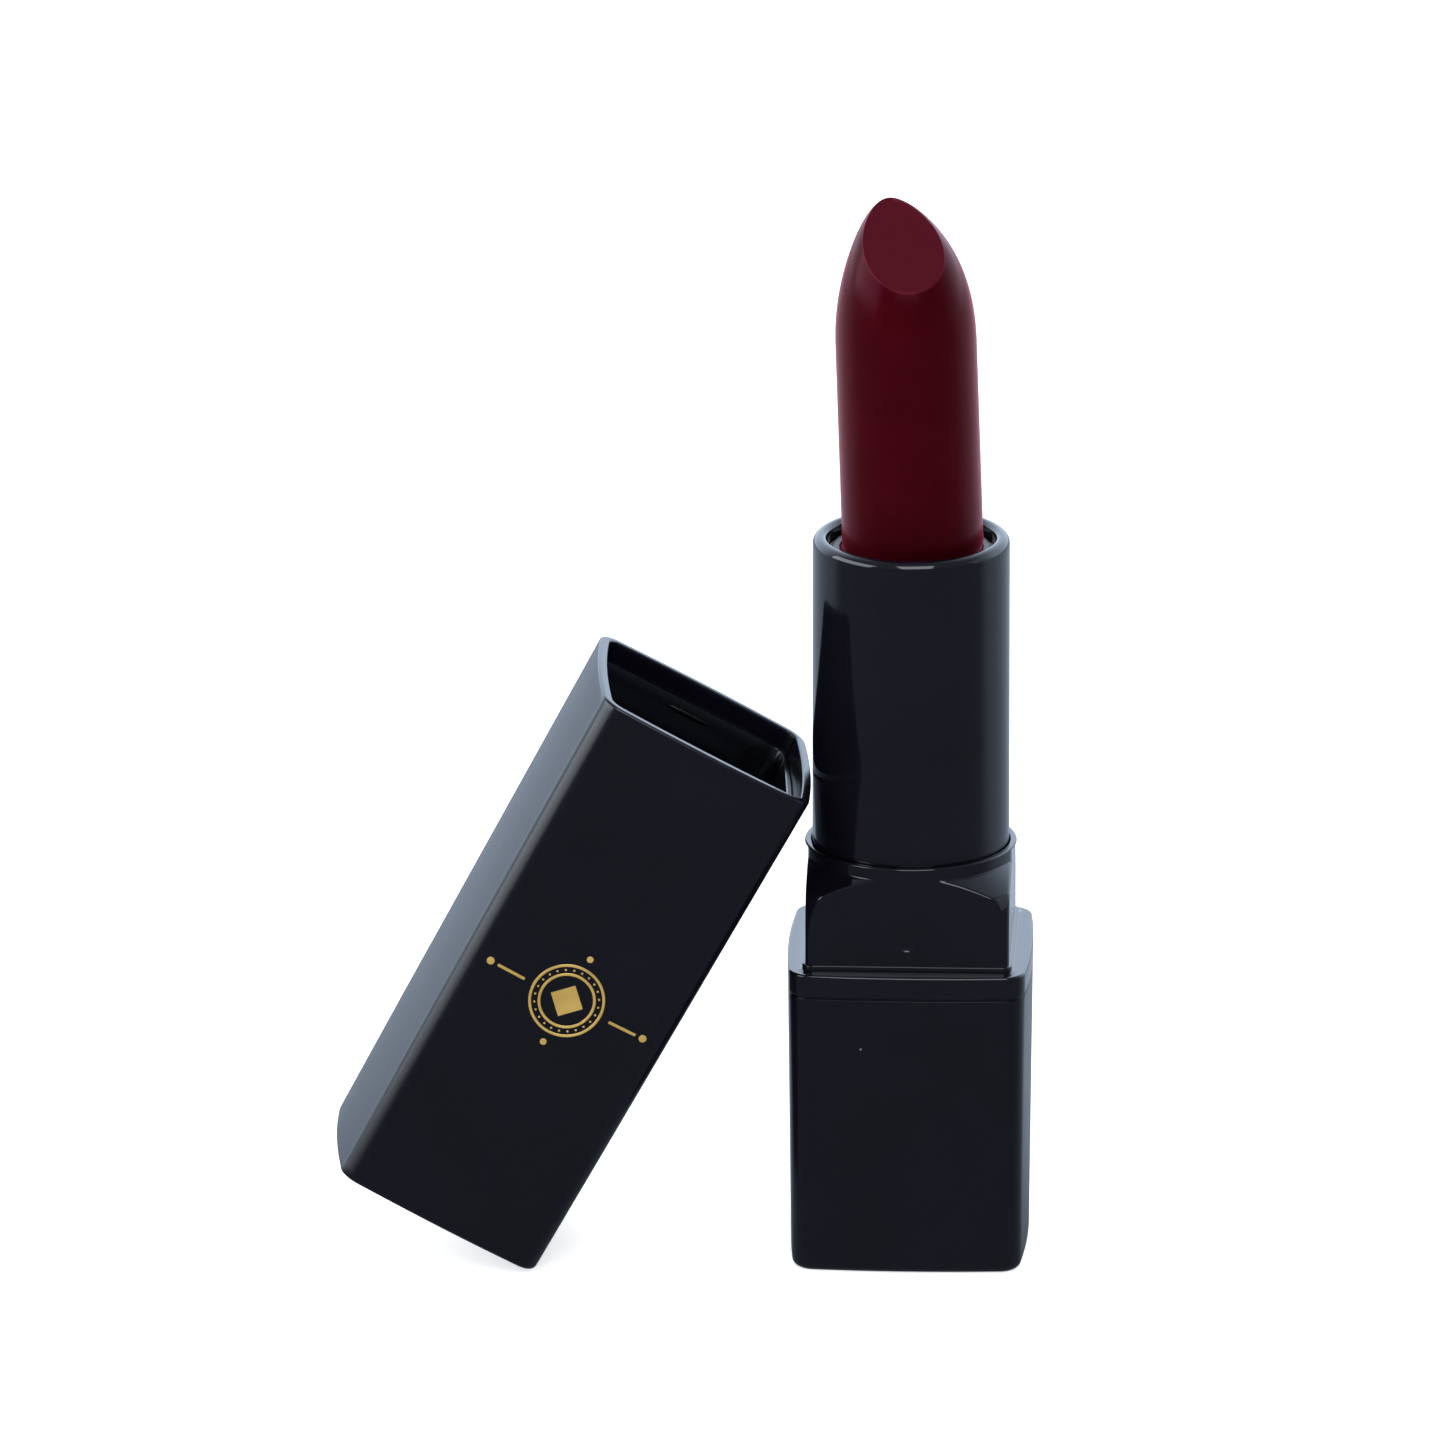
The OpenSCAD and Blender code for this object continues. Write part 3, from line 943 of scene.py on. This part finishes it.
@dataclass
class Carrier:
    """What travels in the sleeve: the cup with its two lugs, and the lipstick with its slanted cut."""

    finishes: Finishes
    cup_radius: float = 6.8
    cup_bore: float = 6.11
    cup_rim: float = 0.15
    cup_floor: float = 0.8
    lug_radius: float = 0.75
    lug_reach: float = 7.9
    lug_rise: float = 1.2
    wax_radius: float = 6.05
    shoulder: float = 80.6
    apex: float = 92.72
    taper: tuple[float, float] = (2.05, 0.588)
    taper_steps: int = 40
    apex_shift: tuple[float, float] = (-1.09, 2.29)
    shift_power: float = 4.0
    cut_height: float = 90.42
    cut_slope: float = 38.0
    cut_turn: float = 10.4
    cut_edge: float = 0.12
    burr: float = 0.08
    burr_width: float = 0.3
    burr_side: tuple[float, float, float] = (0.55, 0.6, 0.58)
    burr_span: tuple[float, float] = (0.6, 0.75)
    lean: float = 1.94
    lean_shift: float = 0.14
    turn_steps: int = 144

    def build_cup(self) -> bpy.types.Object:
        """Builds the cup, with its lugs.

        Returns:
            The cup.
        """
        low, high = box_mm("cup")
        foot, top = low.z, high.z
        outer, bore = self.cup_radius, self.cup_bore
        profile = [(0.0, foot), (outer - 0.3, foot)] + arc(outer - 0.2, foot + 0.2, 0.2, -90, 0, 3)
        rim = self.cup_rim
        profile += arc(outer - rim, top - rim, rim, 0, 90, 4) + arc(bore + rim, top - rim, rim, 90, 180, 4)
        profile += [(bore, foot + self.cup_floor), (0.0, foot + self.cup_floor)]
        bm = turned(profile, self.turn_steps, closed=False)
        length = self.lug_reach - self.cup_bore - 0.2
        for side in (-1, 1):
            lug = bmesh.new()
            bmesh.ops.create_cone(lug, cap_ends=True, segments=32, radius1=self.lug_radius,
                                  radius2=self.lug_radius, depth=length)
            ends = [edge for edge in lug.edges if abs(edge.verts[0].co.z - edge.verts[1].co.z) < 0.001]
            bmesh.ops.bevel(lug, geom=ends, offset=0.12, affect="EDGES", segments=2, profile=0.5, material=-1)
            turn = Matrix.Rotation(math.pi / 2, 4, "Y")
            middle = Vector((side * (self.lug_reach - length / 2), 0.0, foot + self.lug_rise))
            bmesh.ops.transform(lug, matrix=Matrix.Translation(middle) @ turn, verts=lug.verts)
            absorb(bm, outwards(lug))
        return finished(bm, "cup_skin", Body.CARRIER, Slot.GREY_PLASTIC, self.finishes.grey, "cup")

    def bullet_profile(self, foot: float, cup_top: float) -> list[Point]:
        """Half of the lipstick's outline before it is cut: straight up to the shoulder, then to a point.

        Args:
            foot: Height of its foot, in the cup.
            cup_top: Height of the cup's rim.

        Returns:
            The points, as (radius, height).
        """
        radius = self.wax_radius
        start = cup_top + 0.3
        profile = [(0.0, foot), (radius - 0.1, foot), (radius, foot + 0.1), (radius, cup_top - 0.2)]
        profile += [(radius, start + (self.shoulder - start) * i / 6) for i in range(7)]
        height = self.apex - self.shoulder
        sharp, full = self.taper
        for step in range(1, self.taper_steps + 1):
            share = 1 - (1 - step / self.taper_steps) ** 2
            profile.append((radius * max(1 - share ** sharp, 0.0) ** full, self.shoulder + height * share))
        return profile

    def draw_point(self, bm: bmesh.types.BMesh) -> None:
        """Draws the point over to the back left, ever more towards the apex."""
        for vert in bm.verts:
            rise = (vert.co.z - self.shoulder) / (self.apex - self.shoulder)
            share = max(rise, 0.0) ** self.shift_power
            vert.co.x += self.apex_shift[0] * share
            vert.co.y += self.apex_shift[1] * share

    def build_bullet(self) -> bpy.types.Object:
        """Builds the lipstick: turned, cut, softened along the cut, then leaned in its cup.

        Returns:
            The lipstick.
        """
        foot, cup_top = (corner.z for corner in box_mm("cup"))
        profile = self.bullet_profile(foot + self.cup_floor + 0.1, cup_top)
        bm = turned(profile, self.turn_steps, closed=False)
        self.draw_point(bm)
        self.cut(bm)
        leaned = self.leaned(cup_top)
        for vert in bm.verts:
            if vert.co.z > cup_top:
                vert.co = leaned @ vert.co
        # The cut's plane tells the wax where its painted light goes.
        place = leaned @ Vector((0.0, 0.0, self.cut_height))
        normal = leaned.to_3x3() @ self.cut_normal()
        wax = replace(self.finishes.wax, cut_normal=tuple(normal), cut_place=place.dot(normal) * MM)
        return finished(bm, "bullet_skin", Body.CARRIER, Slot.LIPSTICK, wax, "bullet", crease=50.0)

    def cut_normal(self) -> Vector:
        """The way the slanted cut faces, before the lipstick is leaned."""
        turn = Matrix.Rotation(math.radians(self.cut_turn), 3, "Z")
        return turn @ Matrix.Rotation(math.radians(self.cut_slope), 3, "X") @ Vector((0.0, 0.0, 1.0))

    def leaned(self, pivot: float) -> Matrix:
        """The turn that leans the lipstick to the left, about a point on its axis."""
        centre = Matrix.Translation((0.0, 0.0, pivot))
        shift = Matrix.Translation((self.lean_shift, 0.0, 0.0))
        return shift @ centre @ Matrix.Rotation(math.radians(-self.lean), 4, "Y") @ centre.inverted()

    def cut(self, bm: bmesh.types.BMesh) -> None:
        """Cuts the point off aslant, rounds the cut's edge, and leaves a thin burr along its far side."""
        normal = self.cut_normal()
        point = Vector((0.0, 0.0, self.cut_height))
        sliced = bmesh.ops.bisect_plane(bm, geom=bm.verts[:] + bm.edges[:] + bm.faces[:], plane_co=point,
                                        plane_no=normal, clear_outer=True, dist=0.0001)["geom_cut"]
        rim = [part for part in sliced if isinstance(part, bmesh.types.BMEdge)]
        face = bmesh.ops.contextual_create(bm, geom=rim)["faces"][0]
        bmesh.ops.remove_doubles(bm, verts=list(face.verts), dist=0.02)
        face = max(bm.faces, key=lambda f: f.calc_area())
        bmesh.ops.bevel(bm, geom=list(face.edges), offset=self.cut_edge, affect="EDGES", segments=3,
                        profile=0.5, material=-1, clamp_overlap=True)
        face = max(bm.faces, key=lambda f: f.calc_area())
        bmesh.ops.inset_individual(bm, faces=[face], thickness=self.burr_width / 2)
        crest = list(face.verts)
        bmesh.ops.inset_individual(bm, faces=[face], thickness=self.burr_width / 2)
        middle = face.calc_center_median()
        start, full = self.burr_span
        for vert in crest:
            way = (vert.co - middle).normalized()
            share = (way.dot(Vector(self.burr_side)) - start) / (full - start)
            vert.co += normal * self.burr * min(max(share, 0.0), 1.0)


@dataclass
class Cap:
    """The square cap, modelled mouth up on its closed end and then leaned: shell, liner and gold ornament."""

    finishes: Finishes
    length: float = 48.4
    mouth_width: float = 20.8
    end_width: float = 19.8
    corner: float = 1.6
    bow: float = 0.51
    wall: float = 0.9
    end_edge: float = 0.5
    end_draw: float = 0.055
    mouth_edge: float = 0.24
    end_thickness: float = 1.3
    tilt: float = 28.7
    heading: float = 3.5
    liner_foot: float = 5.2
    liner_setback: float = 1.8
    liner_wall: float = 0.8
    plug_half: float = 8.85
    deep_half: float = 8.675
    shelf: float = 38.7
    bead_height: float = 45.55
    bead_out: float = 0.06
    bead_sunk: float = 0.06
    bead_length: float = 2.4
    bead_rise: float = 0.26
    ornament_height: float = 23.3
    foil_height: float = 0.05

    def width_at(self, z: float) -> float:
        """Outside width of the cap at a height above its closed end."""
        return self.end_width + (self.mouth_width - self.end_width) * z / self.length

    def level(self, x: float, z: float) -> Level:
        """A point of the cap's profile on its drafted outline."""
        return Level(z, -x, self.width_at(z) / self.mouth_width)

    def pose(self) -> Matrix:
        """The turn that leans the cap."""
        heading = Matrix.Rotation(math.radians(self.heading), 4, "Z")
        return heading @ Matrix.Rotation(math.radians(self.tilt), 4, "Y")

    def place(self, shell: bmesh.types.BMesh) -> Matrix:
        """The move that leans the cap and puts it where the frame has it.

        Args:
            shell: The shell, still upright.

        Returns:
            The move, the same for every piece of the cap.
        """
        corners = [self.pose() @ vert.co for vert in shell.verts]
        low = Vector([min(corner[axis] for corner in corners) for axis in range(3)])
        high = Vector([max(corner[axis] for corner in corners) for axis in range(3)])
        cad_low, cad_high = box_mm("cap_shell")
        shift = (cad_low + cad_high - low - high) / 2
        shift.z = cad_low.z - low.z
        return Matrix.Translation(shift) @ self.pose()

    def shell(self) -> bmesh.types.BMesh:
        """The shell as one closed skin: end, side, rolled lip and inside."""
        outline = Outline(self.mouth_width, self.corner, self.bow)
        edge, lip = self.end_edge, self.mouth_edge
        side = arc(-edge - self.end_draw, edge, edge, -90, 0, 7)
        side += [(-0.04, edge + 0.4)] + [(0.0, self.length * k / 4) for k in (1, 2, 3)]
        side += [(0.0, self.length - 0.7)]
        side += arc(-lip, self.length - lip, lip, 0, 90, 6)
        inside, floor = -self.wall, self.end_thickness
        side += arc(inside + 0.16, self.length - 0.16, 0.16, 90, 180, 4)
        side += [(inside, self.length - 0.5), (inside, self.length / 2), (inside, floor + 0.4),
                 (inside - 0.1, floor + 0.1), (inside - 0.4, floor)]
        skin = Skin(outline, self.level(-edge - 0.4, 0.0))
        skin.grow([self.level(x, z) for x, z in side])
        return skin.close()

    def liner(self) -> bmesh.types.BMesh:
        """The inner cap: a square socket for the collar, with two beads, over a round-cornered well."""
        top = self.length - self.liner_setback
        foot = self.liner_foot
        outline = Outline(self.mouth_width, self.corner, self.bow, side_cuts=23)
        outside = -self.wall - 0.02
        side = [(outside - 0.2, foot), (outside, foot + 0.2)]
        side += [(outside, self.length / 2), (outside, top - 0.4)]
        side += arc(outside - 0.12, top - 0.12, 0.12, 0, 90, 3)
        skin = Skin(outline, self.level(outside - 0.6, foot))
        skin.grow([self.level(x, z) for x, z in side])
        plug, deep, shelf = self.plug_half, self.deep_half, self.shelf
        floor = foot + self.liner_wall
        socket = [(top, plug + 0.1, 1.0), (top - 0.03, plug + 0.03, 0.93), (top - 0.1, plug, 0.9)]
        socket += [(shelf + 0.3, plug, 0.9), (shelf, plug, 0.9)]
        well = [(shelf, deep + 0.05, 2.0), (shelf - 0.1, deep, 2.0), (floor + 0.4, deep, 2.0)]
        well += [(floor, deep - 0.4, 1.7)]
        skin.grow([SquareLevel(*level) for level in socket + well])
        bm = skin.close()
        for side_sign in (-1, 1):
            bead = bmesh.new()
            bmesh.ops.create_uvsphere(bead, u_segments=32, v_segments=16, radius=1.0)
            size = (self.bead_length, self.bead_out + self.bead_sunk, self.bead_rise)
            bmesh.ops.scale(bead, vec=size, verts=bead.verts)
            middle = (0.0, side_sign * (self.plug_half + self.bead_sunk), self.bead_height)
            bmesh.ops.translate(bead, vec=middle, verts=bead.verts)
            absorb(bm, outwards(bead))
        return bm

    def build(self) -> list[bpy.types.Object]:
        """Builds the shell, the liner and the ornament.

        Returns:
            The three pieces.
        """
        shell = self.shell()
        place = self.place(shell)
        parts = (
            (shell, "cap_shell_skin", Slot.SATIN_BLACK, self.finishes.satin_black, "cap_shell"),
            # The liner's finish carries painted shade for the deep inside of the cap.
            (self.liner(), "cap_liner_skin", Slot.GLOSS_BLACK, self.finishes.liner_black_and_painted_shade, "cap_liner"),
            (Ornament(self).build(), "cap_ornament", Slot.GOLD, self.finishes.gold, "cap_emblem"),
        )
        pieces = []
        for bm, name, slot, finish, node in parts:
            bmesh.ops.transform(bm, matrix=place, verts=bm.verts)
            pieces.append(finished(bm, name, Body.CAP, slot, finish, node))
        return pieces


@dataclass
class Ornament:
    """The gold ornament: a lozenge in two rings with beads between, and a rule and a dot on each side."""

    cap: Cap
    lozenge: float = 2.2
    rings: tuple[float, float] = (2.5, 3.3)
    line: float = 0.25
    beads: int = 24
    rule_in: float = 4.1
    rule_out: float = 6.7
    end_dot: float = 0.35
    top_dot: float = 0.3
    bead_dot: float = 0.1
    relief: float = 0.4

    def ring(self, bm: bmesh.types.BMesh, radius: float) -> None:
        """Adds a thin ring, half round in section."""
        part = bmesh.new()
        section = arc(radius - self.line / 2, 0.0, self.line / 2, 0, 180, 6)
        verts = [part.verts.new((x, z * self.relief, 0.0)) for x, z in section]
        edges = [part.edges.new(pair) for pair in zip(verts, verts[1:] + verts[:1])]
        bmesh.ops.spin(part, geom=verts + edges, cent=(0, 0, 0), axis=(0, 1, 0), angle=math.tau, steps=96,
                       use_merge=True, use_duplicate=False)
        bmesh.ops.remove_doubles(part, verts=part.verts, dist=MERGE)
        absorb(bm, outwards(part))

    def dot(self, bm: bmesh.types.BMesh, x: float, z: float, radius: float) -> None:
        """Adds a low round dot."""
        part = bmesh.new()
        bmesh.ops.create_uvsphere(part, u_segments=20, v_segments=8, radius=radius)
        bmesh.ops.scale(part, vec=(1.0, self.cap.foil_height / radius, 1.0), verts=part.verts)
        bmesh.ops.translate(part, vec=(x, 0.0, z), verts=part.verts)
        absorb(bm, outwards(part))

    def bar(self, bm: bmesh.types.BMesh, x: float, length: float, height: float, turn: float = 0.0,
            cuts: int = 12) -> None:
        """Adds a flat bar or lozenge with softened edges, fine enough to follow the bowed face."""
        part = bmesh.new()
        bmesh.ops.create_grid(part, x_segments=cuts, y_segments=max(cuts // 3, 2), size=0.5)
        bmesh.ops.scale(part, vec=(length, height, 1.0), verts=part.verts)
        bmesh.ops.rotate(part, matrix=Matrix.Rotation(turn, 3, "Z"), verts=part.verts)
        bmesh.ops.rotate(part, matrix=Matrix.Rotation(math.pi / 2, 3, "X"), verts=part.verts)
        bmesh.ops.translate(part, vec=(x, self.cap.foil_height, 0.0), verts=part.verts)
        edges = [edge for edge in part.edges if edge.is_boundary]
        grown = bmesh.ops.extrude_edge_only(part, edges=edges)["geom"]
        skirt = [item for item in grown if isinstance(item, bmesh.types.BMVert)]
        bmesh.ops.translate(part, vec=(0.0, -self.cap.foil_height, 0.0), verts=skirt)
        bmesh.ops.contextual_create(part, geom=[edge for edge in part.edges if edge.is_boundary])
        absorb(bm, outwards(part))

    def build(self) -> bmesh.types.BMesh:
        """Builds the ornament flat and lays it on the cap's bowed face.

        Returns:
            The closed mesh, in the cap's own place.
        """
        bm = bmesh.new()
        self.bar(bm, 0.0, self.lozenge, self.lozenge, math.pi / 4)
        for radius in self.rings:
            self.ring(bm, radius)
        between = (self.rings[0] + self.rings[1] - self.line) / 2
        for k in range(self.beads):
            angle = math.tau * k / self.beads
            self.dot(bm, between * math.cos(angle), between * math.sin(angle), self.bead_dot)
        for side in (-1, 1):
            self.bar(bm, side * (self.rule_in + self.rule_out) / 2, self.rule_out - self.rule_in, self.line)
            self.dot(bm, side * (self.rule_out + 0.7), 0.0, self.end_dot)
            self.dot(bm, 0.0, side * (self.rings[1] + 0.9), self.top_dot)
        outline = Outline(self.cap.mouth_width, self.cap.corner, self.cap.bow)
        for vert in bm.verts:
            height = vert.co.z + self.cap.ornament_height
            scale = self.cap.width_at(height) / self.cap.mouth_width
            vert.co = Vector((vert.co.x, -outline.face_at(vert.co.x, scale) - vert.co.y + 0.01, height))
        return outwards(bm)


@dataclass
class Mechanism:
    """What is inside, as the frame has it: only its finishes are made here."""

    finishes: Finishes

    def dress(self) -> None:
        """Gives every CAD node that stays its finish."""
        kept = {
            "shade_label": self.finishes.label, "base_weight": self.finishes.steel,
            "base_core": self.finishes.grey, "fork": self.finishes.white,
            "friction_rings": self.finishes.rubber, "spiral": self.finishes.grey,
        }
        for node, finish in kept.items():
            node_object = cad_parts[node]
            for slot in node_object.material_slots:
                slot.material = finish.material()
            log.info("%s: kept, %s", node, finish.name)


# ---- Studio ----


@dataclass
class Studio:
    """Pale floor, soft light from behind and from both sides, and the camera."""

    azimuth: float = 2.43
    elevation: float = 17.6
    distance: float = 3.0
    aim: tuple[float, float, float] = (-0.01617, 0.0, 0.04622)
    view_width: float = 0.12386
    sensor: float = 36.0
    floor_size: float = 6.0
    floor_glow: float = 0.55
    cool_white: Colour = (0.67, 0.81, 1.0)
    box_tint: Colour = (0.86, 0.93, 1.0)

    def build_camera(self) -> None:
        """Places the camera at its viewing angle and makes it the scene's camera."""
        around, up = math.radians(self.azimuth), math.radians(self.elevation)
        back = Vector((math.sin(around) * math.cos(up), -math.cos(around) * math.cos(up), math.sin(up)))
        data = bpy.data.cameras.new("camera")
        data.sensor_width = self.sensor
        data.lens = self.sensor * self.distance / self.view_width
        data.clip_start, data.clip_end = 0.05, 50.0
        camera = bpy.data.objects.new("camera", data)
        camera.location = Vector(self.aim) + back * self.distance
        camera.rotation_mode = "QUATERNION"
        camera.rotation_quaternion = (-back).to_track_quat("-Z", "Y")
        bpy.context.scene.collection.objects.link(camera)
        bpy.context.scene.camera = camera

    def build_floor(self) -> None:
        """Lays a plain pale floor, which shows less of itself in the gloss in front than behind."""
        bm = bmesh.new()
        bmesh.ops.create_grid(bm, x_segments=1, y_segments=1, size=self.floor_size / 2)
        mesh = bpy.data.meshes.new("floor")
        bm.to_mesh(mesh)
        bm.free()
        floor = bpy.data.objects.new("floor", mesh)
        bpy.context.scene.collection.objects.link(floor)
        material = bpy.data.materials.new("pale_floor")
        material.use_nodes = True
        tree = Tree(material.node_tree)
        place = tree.add("ShaderNodeTexCoord").outputs["Object"]
        tone = tree.spread(tree.noise(place, 30.0, 2.0), 0.3, 0.7, 0.90, 0.94)
        colour = tree.add("ShaderNodeCombineColor", {0: tone, 1: tone, 2: tone}).outputs[0]
        matt = tree.add("ShaderNodeBsdfDiffuse", {"Color": colour}).outputs[0]
        glow = tree.add("ShaderNodeEmission", {"Color": (1, 1, 1, 1), "Strength": self.floor_glow}).outputs[0]
        seen = tree.add("ShaderNodeAddShader", {0: matt, 1: glow}).outputs[0]
        along = tree.add("ShaderNodeSeparateXYZ", {0: place}).outputs[1]
        near = tree.spread(along, -0.02, 0.05, 0.2, 0.6, smooth=True)
        far = tree.spread(along, 0.05, 0.2, 0.0, 0.15, smooth=True)
        shine = {"Color": (*self.cool_white, 1), "Strength": tree.math("ADD", near, far)}
        sheen = tree.add("ShaderNodeEmission", shine).outputs[0]
        glossy = tree.add("ShaderNodeLightPath").outputs["Is Glossy Ray"]
        both = tree.add("ShaderNodeMixShader", {0: glossy, 1: seen, 2: sheen}).outputs[0]
        tree.add("ShaderNodeOutputMaterial", {"Surface": both})
        mesh.materials.append(material)

    def build_world(self) -> None:
        """Lights the scene as a white tent does that is brightest behind the object and dim in front."""
        world = bpy.data.worlds.new("tent")
        world.use_nodes = True
        bpy.context.scene.world = world
        tree = Tree(world.node_tree)
        way = tree.add("ShaderNodeTexCoord").outputs["Generated"]
        parts = tree.add("ShaderNodeSeparateXYZ", {0: way}).outputs
        behind = tree.spread(parts[1], -0.05, 0.75, 0.2, 2.3, smooth=True)
        high = tree.spread(parts[2], 0.4, 0.95, 1.0, 0.3, smooth=True)
        above = tree.spread(parts[2], 0.1, 0.9, 0.0, 0.3)
        light = tree.math("ADD", tree.math("MULTIPLY", behind, high), above)
        glossy = tree.add("ShaderNodeLightPath").outputs["Is Glossy Ray"]
        tint = tree.mix(glossy, (1.0, 1.0, 1.0), self.cool_white)
        glow = tree.add("ShaderNodeBackground", {"Color": tint, "Strength": light})
        tree.add("ShaderNodeOutputWorld", {"Surface": glow.outputs[0]})

    def add_softbox(self, name: str, place: tuple[float, float, float], size: tuple[float, float],
                    radiance: float) -> None:
        """Hangs a softbox that faces the object.

        Args:
            name: Its name.
            place: Its middle, in metres.
            size: Its width and height, in metres.
            radiance: How bright it looks.
        """
        data = bpy.data.lights.new(name, "AREA")
        data.shape = "RECTANGLE"
        data.color = self.box_tint
        data.size, data.size_y = size
        data.energy = radiance * math.pi * size[0] * size[1]
        light = bpy.data.objects.new(name, data)
        light.location = place
        light.rotation_mode = "QUATERNION"
        light.rotation_quaternion = (Vector(self.aim) - Vector(place)).to_track_quat("-Z", "Y")
        light.visible_camera = False
        bpy.context.scene.collection.objects.link(light)

    def build(self) -> None:
        """Builds the whole studio."""
        self.build_camera()
        self.build_floor()
        self.build_world()
        self.add_softbox("fill", (0.1, -0.7, 0.7), (0.6, 0.6), 4.5)
        self.add_softbox("left_box", (-0.68, -0.18, 0.37), (0.8, 0.42), 4.4)
        self.add_softbox("right_box", (0.6, 0.12, 0.25), (0.5, 0.4), 0.5)
        bpy.context.scene.view_settings.view_transform = "Standard"
        log.info("studio: camera, floor, tent and softboxes")


def main() -> None:
    """Builds the studio and every sub-assembly."""
    logging.basicConfig(level=logging.INFO, format="%(name)s: %(message)s")
    finishes = Finishes()
    Studio().build()
    Base(finishes).build()
    Collar(finishes).build()
    Sleeve(finishes).build()
    carrier = Carrier(finishes)
    carrier.build_cup()
    carrier.build_bullet()
    Cap(finishes).build()
    Mechanism(finishes).dress()


if __name__ == "__main__":
    main()
